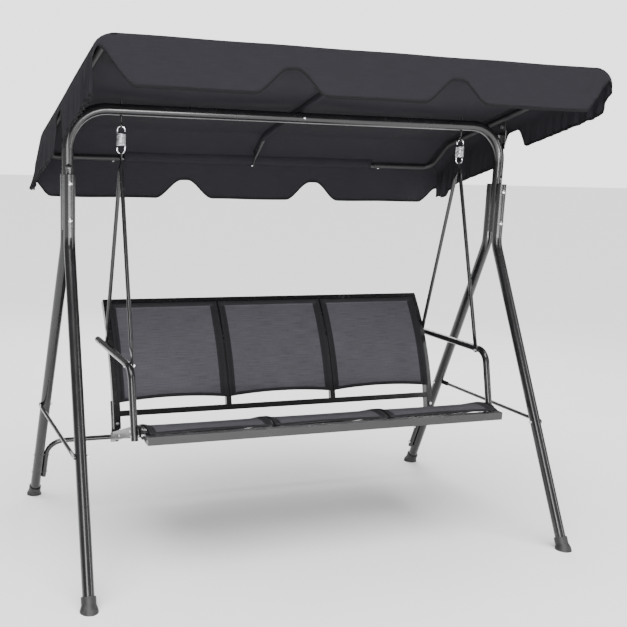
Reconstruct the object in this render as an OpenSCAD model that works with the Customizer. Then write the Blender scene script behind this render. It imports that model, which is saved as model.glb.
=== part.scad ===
// Three-seat canopy swing: two A-shaped leg pairs carry a bent top bar, the bench hangs
// from it on two springs and four hanger tubes, and a fabric canopy tilts above it.
// X runs across the bench, Y to the back and Z up. The origin is on the floor, half way
// between the feet. Left is -X and right is +X; right-hand parts are drawn, left ones mirrored.

/* [Stand] */
// Distance between the two uprights, centre to centre
stand_w = 1666; // [1400:2:2000]
// Distance between the left and right feet, centre to centre
feet_w = 1742; // [1500:2:2100]
// Distance between the front and rear feet, centre to centre
feet_d = 1060; // [900:2:1300]
// Height of the top bar's centre line
top_h = 1500; // [1400:2:1700]
// Outside diameter of the stand's tubes
stand_d = 38; // [32:1:45]
// Wall of the stand's tubes
stand_wall = 1.2; // [1:0.1:2]
// Centre-line radius of the top bar's corners
corner_r = 130; // [100:5:160]
// Height of the legs' upper ends
leg_top_h = 1287; // [1240:1:1300]
// Height at which the legs start to spread
leg_spread_h = 1060; // [1000:5:1090]
// Height of the side braces
brace_h = 425; // [350:5:600]
// Height of the rear crossbar
crossbar_h = 255; // [200:5:320]

/* [Springs] */
// Distance between the two springs, centre to centre
spring_span = 1310; // [1100:2:1400]
// Outside diameter of the coil
spring_d = 33; // [30:1:34]
// Wire diameter
wire_d = 4; // [3:0.5:4]
// Height of the wire centre where a spring hangs on its hook
spring_top_h = 1447.3; // [1440:0.1:1455]
// Distance between the wire centres of the upper and lower loops
spring_reach = 88; // [80:1:100]

/* [Bench] */
// Width over the bench frame
bench_w = 1314; // [1100:2:1400]
// Front of the seat's front rail, measured from the springs' line
seat_front = 395; // [350:5:430]
// Height of the seat at its crown
seat_crown_h = 501; // [480:1:520]
// Slope of the seat behind the crown, in degrees
seat_slope = 19.8; // [15:0.1:22]
// Height of the lower end of the backrest
back_low_h = 392; // [390:1:400]
// Radius of the backrest's curve
back_r = 980; // [900:10:1100]
// Lean of the backrest at its lower end, in degrees
back_lean_low = 10; // [8:1:12]
// Lean of the backrest at its upper end, in degrees
back_lean_top = 38.5; // [34:0.5:40]
// Height of the armrests' centre line
arm_h = 683; // [670:1:700]

/* [Canopy] */
// Width over the canopy's side edges
canopy_w = 1732; // [1728:2:1800]
// Front edge of the canopy, measured from the top bar
canopy_front = 530; // [480:5:600]
// Place where the canopy bends down towards its rear edge
canopy_bend = 335; // [300:5:360]
// Rear edge of the canopy, measured from the top bar
canopy_rear = 478; // [440:2:520]
// Depth of the hanging front and rear edges
valance_d = 145; // [110:5:160]
// Thickness of the canopy cloth solid
cloth_t = 3; // [2:0.5:4]

/* [Hidden] */
$fn = 48;
CUT = 1;                 // how far a cutting tool passes the material
FIT = 0.2;               // clearance on diameter between parts that are bolted or pushed together
SEAT_GAP = 0.3;          // room under a bolt head on a leaning tube
NECK_STEP = 0.8;         // a flattened end's neck is this much thinner than its tube
BEND_LAP = 1;            // how far a straight runs into a bend
BEND_EXTRA = 0.2;        // extra diameter of a bend
UP_X = stand_w / 2;      // upright
FOOT_X = feet_w / 2;
FOOT_Y = feet_d / 2;
LEG_Y = 30;              // the legs clasp the upright's pressed end, front and rear
LEG_BEND_R = 110;
LEG_END_H = 12;          // centre of the leg's cut end, inside the foot
LEG_BOLTS_H = [1258, 1139];
UPRIGHT_END_H = 1105;
BOLT_D = 8;
SMALL_BOLT_D = 6;

BRACE_D = 13;
BRACE_FLAT_T = 4;
BRACE_FLAT_W = 18;
BRACE_FLAT_L = 38;

CROSS_D = 19;
CROSS_R = 66;
CROSS_LOW_H = 90;
CROSS_BOLTS_H = [192, 111];

JOIN_X = -35;            // end of the right-hand half of a two-part tube
SPIGOT_L = 80;

HOOK_D = 5;
HOOK_R = 7.5;
SPRING_X = spring_span / 2;
COIL_R = (spring_d - wire_d) / 2;
COIL_TURNS = 7.5;
COIL_PITCH = wire_d + 1.2;
LOOP_R = COIL_R - 1.2;
SPRING_LOW_H = spring_top_h - spring_reach;

BAR_W = 25;              // bench side rails, back rails and the top rail
SLAT_W = 20;             // the supports between the panels
SLAT_X = 215;
SEAT_BAR_H = 28;
SEAT_CROWN_R = 177;
SEAT_CROWN_Y = -310;
SEAT_REAR_Y = 62;
FRONT_RAIL_W = 25;
FRONT_RAIL_Z = 464;
FRONT_RAIL_H = 27;
BENCH_X = bench_w / 2;   // outer face of the bench frame
BENCH_WALL = 1.5;
BACK_Y = 52;
BACK_BOLT_H = 412;
BACK_BOLT_Y = [85.8, 54.4];
PANEL_T = 3;
PANEL_SETBACK = 5;       // the panels lie this far below the rails' faces

ARM_D = 24;
ARM_WALL = 1.2;
ARM_X = BENCH_X + 5 + ARM_D / 2;
ARM_REAR_Y = 245;
ARM_BEND_Y = -240;
ARM_LOW = [-297, 452];
ARM_R = 55;
PLATE_T = 4;

HANGER_D = 14;
HANGER_WALL = 1.2;
HANGER_FLAT_W = 18;
HANGER_FLAT_L = 40;
HANGER_NECK_L = 21;
HANGER_TOP_W = 15;
HANGER_TOP_T = 3;
HANGER_FRONT = [-200, 680];
HANGER_REAR = [178, 683];

CANOPY_BAR_D = 19;
CANOPY_BAR_WALL = 1;
CANOPY_BAR_X = 826;
CANOPY_SLOPE = 0.26;
CANOPY_REAR_SLOPE = 0.75;
CANOPY_TOP_Z = 1541;     // top of the cloth above the top bar
CANOPY_DROP = 45;        // how far the side edges lie below the middle
CANOPY_FLAT_X = 830;
CANOPY_STUB_X = 550;     // where the cross bars join the side bars
CANOPY_CORNER_R = 45;
PIVOT_H = 1500;
PIVOT_PLATE_W = 36;
TILT_PLATE_X = [836, 839];
FRAME_PLATE_X = [839.6, 842.6];

// ---------------------------------------------------------------- helpers

function unit(v) = v / norm(v);
function leg_x(z) = UP_X + (FOOT_X - UP_X) * (leg_spread_h - z) / leg_spread_h;
function leg_y(z) = LEG_Y + (FOOT_Y - LEG_Y) * (leg_spread_h - z) / leg_spread_h;
function smooth(t) = t <= 0 ? 0 : t >= 1 ? 1 : t * t * (3 - 2 * t);

module left() {
    mirror([1, 0, 0]) children();
}

module rear() {
    mirror([0, 1, 0]) children();
}

// Stands its children, drawn along +Z, on point a and points them at b.
module aim(a, b) {
    v = b - a;
    translate(a) rotate([0, acos(v.z / norm(v)), atan2(v.y, v.x)]) children();
}

module rod(a, b, d) {
    aim(a, b) cylinder(h = norm(b - a), d = d);
}

// A drill along an axis through point p, reaching both ways.
module drill_x(p, d, reach = 40) {
    translate(p) rotate([0, 90, 0]) cylinder(h = 2 * reach, d = d, center = true, $fn = 24);
}

module drill_y(p, d, reach = 60) {
    translate(p) rotate([90, 0, 0]) cylinder(h = 2 * reach, d = d, center = true, $fn = 24);
}

module drill_z(p, d) {
    translate(p) cylinder(h = 60, d = d, center = true, $fn = 24);
}

// Draws its children with their X, Y and Z axes along x, cross(z, x) and z, from point p.
module placed(p, x, z) {
    y = cross(z, x);
    multmatrix([[x.x, y.x, z.x, p.x], [x.y, y.y, z.y, p.y], [x.z, y.z, z.z, p.z], [0, 0, 0, 1]])
        children();
}

// A round bar through the corner points, each corner bent to radius r. The bends are a
// hair thicker than the straights, which run a little way into them.
module bent_rod(pts, d, r, over = 0) {
    last = len(pts) - 1;
    dirs = [for (i = [0:last - 1]) unit(pts[i + 1] - pts[i])];
    sides = [for (i = [1:last - 1]) unit(cross(dirs[i - 1], dirs[i]))];
    // Length that a bend takes from the straight on each side of corner i
    take = [for (i = [0:last]) (i == 0 || i == last) ? 0 : r * tan(acos(dirs[i - 1] * dirs[i]) / 2)];
    for (i = [0:last - 1]) {
        a = pts[i] + dirs[i] * (i == 0 ? -over : take[i] - BEND_LAP);
        b = pts[i + 1] - dirs[i] * (i == last - 1 ? -over : take[i + 1] - BEND_LAP);
        placed(a, sides[min(i, last - 2)], dirs[i]) cylinder(h = norm(b - a), d = d);
    }
    for (i = [1:last - 1]) {
        out = cross(dirs[i - 1], sides[i - 1]);
        placed(pts[i] - dirs[i - 1] * take[i] - out * r, out, sides[i - 1])
            rotate_extrude(angle = acos(dirs[i - 1] * dirs[i])) translate([r, 0]) circle(d = d + BEND_EXTRA);
    }
}

module bent_tube(pts, d, wall, r) {
    difference() {
        bent_rod(pts, d, r);
        bent_rod(pts, d - 2 * wall, r, CUT);
    }
}

// A bolt with a domed head at point p, its shank along +Z for length l and a hexagon nut.
module bolt(l, d) {
    head_h = 0.5 * d;
    head_r = 0.9 * d;
    cap_r = (head_r * head_r + head_h * head_h) / (2 * head_h);
    intersection() {
        translate([0, 0, cap_r - head_h]) sphere(r = cap_r);
        translate([0, 0, -head_h]) cylinder(h = head_h, r = head_r);
    }
    cylinder(h = l + 0.8 * d + 2, d = d - FIT);
    translate([0, 0, l]) cylinder(h = 0.8 * d, d = 1.9 * d, $fn = 6);
}

module bolt_between(a, b, d) {
    aim(a, b) bolt(norm(b - a), d);
}

// Flattened tube end: a plate in the YZ plane with a round end about the bolt.
module flat_end(w, l, t) {
    translate([-t / 2, 0, 0]) rotate([0, 90, 0]) cylinder(h = t, d = w);
    translate([-t / 2, -w / 2, 0]) cube([t, w, l]);
}

// ---------------------------------------------------------------- stand

// Front right leg
module front_leg() {
    pts = [
        [UP_X, -LEG_Y, leg_top_h],
        [UP_X, -LEG_Y, leg_spread_h],
        [leg_x(LEG_END_H), -leg_y(LEG_END_H), LEG_END_H]
    ];
    color("#1b1c1e") difference() {
        bent_tube(pts, stand_d, stand_wall, LEG_BEND_R);
        for (z = LEG_BOLTS_H) drill_y([UP_X, -LEG_Y, z], BOLT_D);
        drill_x([leg_x(brace_h), -leg_y(brace_h), brace_h], SMALL_BOLT_D);
    }
}

module rear_leg() {
    rear() difference() {
        front_leg();
        for (z = CROSS_BOLTS_H) drill_x([leg_x(z), -leg_y(z), z], SMALL_BOLT_D);
    }
}

// Plastic foot over the end of the front right leg
module foot() {
    axis_top = [leg_x(60), -leg_y(60), 60];
    axis_low = [leg_x(0), -leg_y(0), 0];
    color("#151515") difference() {
        intersection() {
            aim(axis_low, axis_top) translate([0, 0, -30]) {
                cylinder(h = 75, d = stand_d + 9);
                translate([0, 0, 12]) cylinder(h = 22, d = 58);
                translate([0, 0, 34]) cylinder(h = 16, d1 = 58, d2 = stand_d + 9);
            }
            translate([FOOT_X - 100, -FOOT_Y - 100, 0]) cube([200, 200, 200]);
        }
        aim([leg_x(LEG_END_H), -leg_y(LEG_END_H), LEG_END_H], axis_top)
            cylinder(h = 200, d = stand_d + FIT);
    }
}

// Tools that press the upright's end into a saddle for each leg
module saddle(r) {
    for (s = [-1, 1]) {
        translate([UP_X, s * LEG_Y, UPRIGHT_END_H - 10]) cylinder(h = 1305 - UPRIGHT_END_H + 10, r = r);
        translate([UP_X, s * LEG_Y, 1305]) sphere(r = r);
    }
}

function half_bar_pts(end_x) = [
    [UP_X, 0, UPRIGHT_END_H],
    [UP_X, 0, top_h],
    [end_x, 0, top_h]
];

// Upright, corner and half of the top bar; end_x is where this half's full tube ends
module half_bar(end_x) {
    difference() {
        bent_rod(half_bar_pts(end_x), stand_d, corner_r);
        difference() {
            bent_rod(half_bar_pts(end_x), stand_d - 2 * stand_wall, corner_r, CUT);
            saddle(stand_d / 2 + FIT + stand_wall);
        }
        saddle(stand_d / 2 + FIT);
        for (z = LEG_BOLTS_H) drill_y([UP_X, 0, z], BOLT_D);
        translate([SPRING_X, 0, top_h]) cylinder(h = 60, d = HOOK_D + FIT, center = true);
    }
}

module top_bar_right() {
    color("#1b1c1e") difference() {
        half_bar(JOIN_X);
        drill_y([0, 0, top_h], SMALL_BOLT_D);
    }
}

module top_bar_left() {
    spigot_d = stand_d - 2 * stand_wall - FIT;
    color("#1b1c1e") {
        left() half_bar(-JOIN_X + FIT);
        difference() {
            translate([JOIN_X - 40, 0, top_h]) rotate([0, 90, 0]) cylinder(h = SPIGOT_L + 40, d = spigot_d);
            translate([JOIN_X - 60, 0, top_h]) rotate([0, 90, 0])
                cylinder(h = SPIGOT_L + 80, d = spigot_d - 2 * stand_wall);
            drill_y([0, 0, top_h], SMALL_BOLT_D);
        }
        // Swaged shoulder that closes the gap between the tube and its spigot
        translate([JOIN_X - 30, 0, top_h]) rotate([0, 90, 0]) difference() {
            cylinder(h = 28, d = stand_d - stand_wall);
            translate([0, 0, -CUT]) cylinder(h = 30, d = spigot_d - stand_wall);
        }
    }
}

module top_bar_screw() {
    color("#d8d8da") bolt_between([0, -stand_d / 2, top_h], [0, stand_d / 2, top_h], SMALL_BOLT_D);
}

module side_brace() {
    y = leg_y(brace_h);
    x = leg_x(brace_h) + stand_d / 2 + BRACE_FLAT_T / 2 + 0.3;
    color("#1b1c1e") difference() {
        union() {
            for (s = [-1, 1]) translate([x, s * y, brace_h]) rotate([s * 90, 0, 0])
                flat_end(BRACE_FLAT_W, BRACE_FLAT_L, BRACE_FLAT_T);
            for (s = [-1, 1]) hull() {
                translate([x, s * (y - BRACE_FLAT_L), brace_h])
                    cube([BRACE_FLAT_T, 2, BRACE_FLAT_W], center = true);
                translate([x, s * (y - BRACE_FLAT_L - 16), brace_h]) rotate([90, 0, 0])
                    cylinder(h = 2, d = BRACE_D - NECK_STEP, center = true, $fn = 32);
            }
            rod([x, -y + BRACE_FLAT_L + 16, brace_h], [x, y - BRACE_FLAT_L - 16, brace_h], BRACE_D);
        }
        for (s = [-1, 1]) drill_x([x, s * y, brace_h], SMALL_BOLT_D);
    }
}

function cross_x(z) = leg_x(z) - stand_d / 2 - CROSS_D / 2 - 0.2;
function half_cross_pts(end_x) = [
    [cross_x(CROSS_LOW_H), leg_y(CROSS_LOW_H), CROSS_LOW_H],
    [cross_x(crossbar_h), leg_y(crossbar_h), crossbar_h],
    [end_x, leg_y(crossbar_h), crossbar_h]
];

module rear_crossbar_right() {
    color("#1b1c1e") difference() {
        bent_tube(half_cross_pts(JOIN_X), CROSS_D, stand_wall, CROSS_R);
        for (z = CROSS_BOLTS_H) drill_x([cross_x(z), leg_y(z), z], SMALL_BOLT_D);
        drill_y([0, leg_y(crossbar_h), crossbar_h], SMALL_BOLT_D);
    }
}

module rear_crossbar_left() {
    inner = CROSS_D - 2 * stand_wall - FIT;
    color("#1b1c1e") {
        left() difference() {
            bent_tube(half_cross_pts(-JOIN_X + FIT), CROSS_D, stand_wall, CROSS_R);
            for (z = CROSS_BOLTS_H) drill_x([cross_x(z), leg_y(z), z], SMALL_BOLT_D);
        }
        difference() {
            translate([JOIN_X - 30, leg_y(crossbar_h), crossbar_h]) rotate([0, 90, 0])
                cylinder(h = SPIGOT_L + 30, d = inner);
            drill_y([0, leg_y(crossbar_h), crossbar_h], SMALL_BOLT_D);
        }
        translate([JOIN_X - 30, leg_y(crossbar_h), crossbar_h]) rotate([0, 90, 0])
            cylinder(h = 28, d = CROSS_D - stand_wall);
    }
}

// Rod through the top bar with an eye below it and a nut above it
module spring_hook() {
    eye_z = spring_top_h - 0.3 - wire_d / 2 - HOOK_D / 2 + HOOK_R;
    color("#202022") translate([SPRING_X, 0, 0]) {
        translate([0, 0, eye_z + HOOK_R - 1]) cylinder(h = top_h + 32 - eye_z - HOOK_R, d = HOOK_D);
        translate([0, 0, eye_z]) rotate([0, 90, 0])
            rotate_extrude() translate([HOOK_R, 0]) circle(d = HOOK_D);
        translate([0, 0, top_h + stand_d / 2]) cylinder(h = 5, d = 10, $fn = 6);
        translate([0, 0, top_h - stand_d / 2 - 5]) cylinder(h = 5, d = 10, $fn = 6);
    }
}

// Plate welded to the outside of the corner, which carries the canopy's pivot
module canopy_bracket() {
    x0 = FRAME_PLATE_X[0];
    t = FRAME_PLATE_X[1] - x0;
    color("#1b1c1e") difference() {
        union() {
            translate([x0, -PIVOT_PLATE_W / 2, 1418]) cube([t, PIVOT_PLATE_W, PIVOT_H - 1418]);
            translate([x0, 0, PIVOT_H]) rotate([0, 90, 0]) cylinder(h = t, d = PIVOT_PLATE_W);
            translate([x0 - 46, -2, 1436]) cube([46, 4, 34]);
        }
        bent_rod(half_bar_pts(600), stand_d + 0.1, corner_r);
        drill_x([x0, 0, PIVOT_H], BOLT_D);
    }
}

module stand_bolts() {
    outer = LEG_Y + stand_d / 2;
    brace_face = leg_x(brace_h) + stand_d / 2 + BRACE_FLAT_T + 0.4;
    color("#d8d8da") for (s = [0, 1]) mirror([s, 0, 0]) {
        for (z = LEG_BOLTS_H) bolt_between([UP_X, -outer, z], [UP_X, outer, z], BOLT_D);
        for (f = [-1, 1]) {
            y = f * leg_y(brace_h);
            bolt_between([brace_face, y, brace_h], [leg_x(brace_h) - stand_d / 2 - SEAT_GAP, y, brace_h],
                SMALL_BOLT_D);
        }
        for (z = CROSS_BOLTS_H)
            bolt_between([leg_x(z) + stand_d / 2 + SEAT_GAP, leg_y(z), z],
                [cross_x(z) - CROSS_D / 2 - SEAT_GAP, leg_y(z), z], SMALL_BOLT_D);
    }
    color("#d8d8da") bolt_between([0, leg_y(crossbar_h) + CROSS_D / 2, crossbar_h],
        [0, leg_y(crossbar_h) - CROSS_D / 2, crossbar_h], SMALL_BOLT_D);
}

// ---------------------------------------------------------------- springs

// Half of the wire's path: the coil from its middle up, then the loop that hooks on.
// The other half is this one turned half round about Y.
COIL_STEP = 18;
COIL_TOP_A = 90 + COIL_TURNS * 180;
LOOP_MID = spring_reach / 2 - LOOP_R;
function coil_pt(a) = [COIL_R * cos(a), COIL_R * sin(a), COIL_PITCH * (a - 90) / 360];
function loop_pt(a) = [LOOP_R * cos(a), 0, LOOP_MID + LOOP_R * sin(a)];
HALF_WIRE = concat(
    [for (a = [90:COIL_STEP:COIL_TOP_A - 36]) coil_pt(a)],
    [coil_pt(COIL_TOP_A - 18) + [0, 0, 1]],
    [[(COIL_R + LOOP_R) / 2 + 0.5, -0.8, coil_pt(COIL_TOP_A).z + 3.2]],
    [for (a = [-10:14:208]) loop_pt(a)]
);
function turned(p) = [-p.x, p.y, -p.z];
WIRE = concat(
    [for (i = [len(HALF_WIRE) - 1:-1:1]) turned(HALF_WIRE[i])],
    HALF_WIRE
);
function tangent(p, i) = unit(p[min(i + 1, len(p) - 1)] - p[max(i - 1, 0)]);
// Carries a normal along the path without twisting it
function carried(p, i, n) = i >= len(p) ? [] :
    let (t = tangent(p, i), m = unit(n - t * (n * t))) concat([m], carried(p, i + 1, m));

module swept_wire(path, d, sides = 8) {
    normals = carried(path, 0, [0, 1, 0]);
    rings = len(path);
    points = [
        for (i = [0:rings - 1]) let (b = cross(tangent(path, i), normals[i]))
            for (k = [0:sides - 1])
                path[i] + (normals[i] * cos(360 * k / sides) + b * sin(360 * k / sides)) * d / 2
    ];
    walls = [
        for (i = [0:rings - 2]) for (k = [0:sides - 1]) let (q = (k + 1) % sides)
            each [
                [i * sides + k, i * sides + q, (i + 1) * sides + q],
                [i * sides + k, (i + 1) * sides + q, (i + 1) * sides + k]
            ]
    ];
    first_cap = [[for (k = [0:sides - 1]) k]];
    last_cap = [[for (k = [sides - 1:-1:0]) (rings - 1) * sides + k]];
    polyhedron(points, concat(first_cap, [for (f = walls) [f[2], f[1], f[0]]], last_cap));
}

module spring() {
    color("#c9ccd0") translate([SPRING_X, 0, (spring_top_h + SPRING_LOW_H) / 2]) swept_wire(WIRE, wire_d);
}

// ---------------------------------------------------------------- bench

// Hanger from the spring's lower loop to an armrest; to is [y, z] of its lower bolt and
// side_shift sets the two hangers of a pair beside each other in the loop.
module hanger(to, side_shift) {
    top = [SPRING_X + side_shift, 0, SPRING_LOW_H];
    low = [BENCH_X + 2.6, to[0], to[1]];
    down = unit(low - top);
    lean = [atan2(to[0], SPRING_LOW_H - to[1]), 0, 0];
    round_from = HANGER_FLAT_L + HANGER_NECK_L;
    color("#1b1c1e") difference() {
        union() {
            translate(top) rotate(lean) mirror([0, 0, 1])
                flat_end(HANGER_TOP_W, HANGER_FLAT_L, HANGER_TOP_T);
            translate(low) rotate(lean) flat_end(HANGER_FLAT_W, HANGER_FLAT_L, PLATE_T);
            hanger_neck(top, down * HANGER_FLAT_L, down * round_from, lean, HANGER_TOP_T, HANGER_TOP_W);
            hanger_neck(low, -down * HANGER_FLAT_L, -down * round_from, lean, PLATE_T, HANGER_FLAT_W);
            difference() {
                rod(top + down * (round_from - 1), low - down * (round_from - 1), HANGER_D);
                rod(top + down * (round_from + 5), low - down * (round_from + 5),
                    HANGER_D - 2 * HANGER_WALL);
            }
        }
        drill_x(top, wire_d + 5, 8);
        drill_x(low, SMALL_BOLT_D, 12);
        // Drain hole near the lower end
        translate(low - down * (round_from + 18)) rotate([0, 90, 0])
            cylinder(h = HANGER_D, d = 3, $fn = 24);
    }
}

// Stretch where the tube goes from flat to round
module hanger_neck(pin, flat, full, lean, t, w) {
    hull() {
        translate(pin + flat) rotate(lean) cube([t, w, 2], center = true);
        translate(pin + full) rotate(lean)
            cylinder(h = 2, d = HANGER_D - NECK_STEP, center = true, $fn = 32);
    }
}

function arm_pts() = [
    [ARM_X, ARM_REAR_Y, arm_h],
    [ARM_X, ARM_BEND_Y, arm_h],
    [ARM_X, ARM_LOW[0], ARM_LOW[1]]
];
// Bolts that hold an armrest: two to the hangers, two to the seat
ARM_SEAT_BOLTS = [[-286, 485], [-293, 469]];
ARM_BOLTS = concat([HANGER_FRONT, HANGER_REAR], ARM_SEAT_BOLTS);

module armrest() {
    color("#1b1c1e") difference() {
        bent_tube(arm_pts(), ARM_D, ARM_WALL, ARM_R);
        for (p = ARM_BOLTS) drill_x([ARM_X, p[0], p[1]], SMALL_BOLT_D, 20);
    }
}

module armrest_plugs() {
    inner = ARM_D - 2 * ARM_WALL - FIT;
    color("#151515") for (s = [0, 1]) mirror([s, 0, 0])
        translate([ARM_X, ARM_REAR_Y, arm_h]) rotate([90, 0, 0]) {
            cylinder(h = 14, d = inner);
            translate([0, 0, -3]) cylinder(h = 3, d = ARM_D);
        }
}

module armrest_bolts() {
    color("#d8d8da") for (s = [0, 1]) mirror([s, 0, 0]) {
        bolt_between([ARM_X + ARM_D / 2 + SEAT_GAP, HANGER_FRONT[0], HANGER_FRONT[1]],
            [BENCH_X + 0.4, HANGER_FRONT[0], HANGER_FRONT[1]], SMALL_BOLT_D);
        bolt_between([ARM_X + ARM_D / 2, HANGER_REAR[0], HANGER_REAR[1]],
            [BENCH_X - BAR_W, HANGER_REAR[0], HANGER_REAR[1]], SMALL_BOLT_D);
        for (p = ARM_SEAT_BOLTS) bolt_between([ARM_X + ARM_D / 2, p[0], p[1]],
            [BENCH_X - SLAT_W, p[0], p[1]], SMALL_BOLT_D);
    }
}

// Side view of the seat's upper face, from the front to the rear, as [y, z] points;
// depth moves the curve inwards.
SEAT_MID_Z = seat_crown_h - SEAT_CROWN_R;
SEAT_RUN = (SEAT_REAR_Y - SEAT_CROWN_Y) / cos(seat_slope) - SEAT_CROWN_R * tan(seat_slope);
function crown_pt(r, a) = [SEAT_CROWN_Y + r * sin(a), SEAT_MID_Z + r * cos(a)];
function seat_curve(depth) = concat(
    [for (a = [-20:5:15]) crown_pt(SEAT_CROWN_R - depth, a)],
    [crown_pt(SEAT_CROWN_R - depth, seat_slope)],
    [crown_pt(SEAT_CROWN_R - depth, seat_slope) + SEAT_RUN * [cos(seat_slope), -sin(seat_slope)]]
);
// Side view of the backrest's front face, from the bottom to the top
function back_curve(depth, from, to, steps = 10) = [
    for (i = [0:steps]) let (a = from + (to - from) * i / steps)
        [BACK_Y + back_r * cos(back_lean_low) - (back_r - depth) * cos(a),
         back_low_h - back_r * sin(back_lean_low) + (back_r - depth) * sin(a)]
];
function reversed(v) = [for (i = [len(v) - 1:-1:0]) v[i]];

// Extrudes a side view of [y, z] points along X from x0 over the width w
module from_side(x0, w) {
    translate([x0, 0, 0]) rotate([90, 0, 90]) linear_extrude(height = w) children();
}

module seat_strip(top, bottom) {
    polygon(concat(seat_curve(top), reversed(seat_curve(bottom))));
}

module back_strip(front, back, from, to) {
    polygon(concat(back_curve(front, from, to), reversed(back_curve(back, from, to))));
}

// Seat support: a rectangular tube bent over the crown, cut to stand behind the front rail
module seat_bar(x0, w) {
    color("#1b1c1e") difference() {
        from_side(x0, w) seat_strip(0, SEAT_BAR_H);
        from_side(x0 + BENCH_WALL, w - 2 * BENCH_WALL) seat_strip(BENCH_WALL, SEAT_BAR_H - BENCH_WALL);
        translate([x0 - CUT, -seat_front - 50, 300]) cube([w + 2 * CUT, 50 + FRONT_RAIL_W, 300]);
    }
}

// Points where the seat bracket's bolts go through the side rail, as [y, z]
SEAT_PLATE_BOLTS = [[-41, 397], [-187, 453], [-340, 483]];

module seat_side_rail() {
    difference() {
        seat_bar(BENCH_X - SLAT_W, SLAT_W);
        for (p = concat(SEAT_PLATE_BOLTS, ARM_SEAT_BOLTS)) drill_x([BENCH_X, p[0], p[1]], SMALL_BOLT_D, 30);
    }
}

module seat_front_rail() {
    color("#1b1c1e") difference() {
        translate([-BENCH_X, -seat_front, FRONT_RAIL_Z]) cube([bench_w, FRONT_RAIL_W, FRONT_RAIL_H]);
        translate([-BENCH_X + 2, -seat_front + BENCH_WALL, FRONT_RAIL_Z + BENCH_WALL])
            cube([bench_w - 4, FRONT_RAIL_W - 2 * BENCH_WALL, FRONT_RAIL_H - 2 * BENCH_WALL]);
    }
}

SEAT_END = seat_curve(0)[len(seat_curve(0)) - 1];
module seat_rear_rail() {
    inset = BENCH_X - SLAT_W;
    color("#1b1c1e") translate([-inset, SEAT_END[0], SEAT_END[1]]) rotate([-seat_slope, 0, 0])
        translate([0, -SLAT_W - 6, -SEAT_BAR_H + 2]) difference() {
            cube([2 * inset, SLAT_W, SEAT_BAR_H - 10]);
            translate([-CUT, BENCH_WALL, BENCH_WALL])
                cube([2 * inset + 2 * CUT, SLAT_W - 2 * BENCH_WALL, SEAT_BAR_H - 10 - 2 * BENCH_WALL]);
        }
}

// The middle supports stand between the front rail and the rear rail
module seat_slat() {
    difference() {
        seat_bar(SLAT_X - SLAT_W / 2, SLAT_W);
        translate([0, SEAT_END[0], SEAT_END[1]]) rotate([-seat_slope, 0, 0])
            translate([SLAT_X - SLAT_W, -SLAT_W - 6, -SEAT_BAR_H - 10])
                cube([2 * SLAT_W, 60, SEAT_BAR_H + 2]);
    }
}

// Angle plate: the long arm follows the seat's side rail, the short one goes up behind the backrest
module seat_bracket() {
    x0 = BENCH_X + 0.2;
    foot_in = 26;
    back_face = back_curve(BAR_W + 0.3, back_lean_low, 16, 2);
    back_out = back_curve(BAR_W + 3.3, back_lean_low, 16, 2);
    color("#1b1c1e") difference() {
        union() {
            from_side(x0, PLATE_T) intersection() {
                seat_strip(-1, SEAT_BAR_H + 3);
                translate([-338, 300]) square([500, 300]);
            }
            from_side(x0, PLATE_T) polygon([
                SEAT_END + [-40, -6], SEAT_END + [30, -10], SEAT_END + [30, -44], SEAT_END + [-50, -18]
            ]);
            from_side(x0 - foot_in, foot_in + PLATE_T) polygon(concat(
                [SEAT_END + [27, -44]], [back_face[0] + [0, -8]], back_face, reversed(back_out),
                [SEAT_END + [31, -44]]
            ));
        }
        for (p = concat(SEAT_PLATE_BOLTS, ARM_SEAT_BOLTS)) drill_x([x0, p[0], p[1]], SMALL_BOLT_D, 12);
        drill_y([BENCH_X - BAR_W / 2, 70, BACK_BOLT_H], SMALL_BOLT_D);
    }
}

module back_bar(x0, w, depth, from, to) {
    color("#1b1c1e") difference() {
        from_side(x0, w) back_strip(0, depth, from, to);
        from_side(x0 + BENCH_WALL, w - 2 * BENCH_WALL)
            back_strip(BENCH_WALL, depth - BENCH_WALL, from - 0.2, to + 0.2);
    }
}

BACK_RAIL_TOP = back_lean_top - 1.5;
module back_side_rail() {
    difference() {
        back_bar(BENCH_X - BAR_W, BAR_W, BAR_W, back_lean_low, BACK_RAIL_TOP);
        drill_x([BENCH_X, HANGER_REAR[0], HANGER_REAR[1]], SMALL_BOLT_D, 40);
        drill_y([BENCH_X - BAR_W / 2, 70, BACK_BOLT_H], SMALL_BOLT_D);
    }
}

module back_top_rail() {
    color("#1b1c1e") difference() {
        from_side(-BENCH_X, bench_w) back_strip(0, BAR_W, BACK_RAIL_TOP, back_lean_top);
        from_side(-BENCH_X + 2, bench_w - 4)
            back_strip(BENCH_WALL, BAR_W - BENCH_WALL, BACK_RAIL_TOP + 0.1, back_lean_top - 0.1);
    }
}

BACK_LOW_FROM = 12.6;
BACK_LOW_TO = 13.8;
module back_bottom_rail() {
    inset = BENCH_X - BAR_W;
    color("#1b1c1e") difference() {
        from_side(-inset, 2 * inset) back_strip(2, SLAT_W, BACK_LOW_FROM, BACK_LOW_TO);
        from_side(-inset - CUT, 2 * inset + 2 * CUT)
            back_strip(3.5, SLAT_W - BENCH_WALL, BACK_LOW_FROM + 0.1, BACK_LOW_TO - 0.1);
    }
}

module back_slat() {
    back_bar(SLAT_X - SLAT_W / 2, SLAT_W, SLAT_W - 2, BACK_LOW_TO, BACK_RAIL_TOP);
}

// Mesh panels; each spans between two supports
PANEL_MID = SLAT_X - SLAT_W / 2;
module back_panel(x0, x1) {
    color("#55565a") from_side(x0, x1 - x0)
        back_strip(PANEL_SETBACK, PANEL_SETBACK + PANEL_T, 16, BACK_RAIL_TOP);
}

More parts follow.
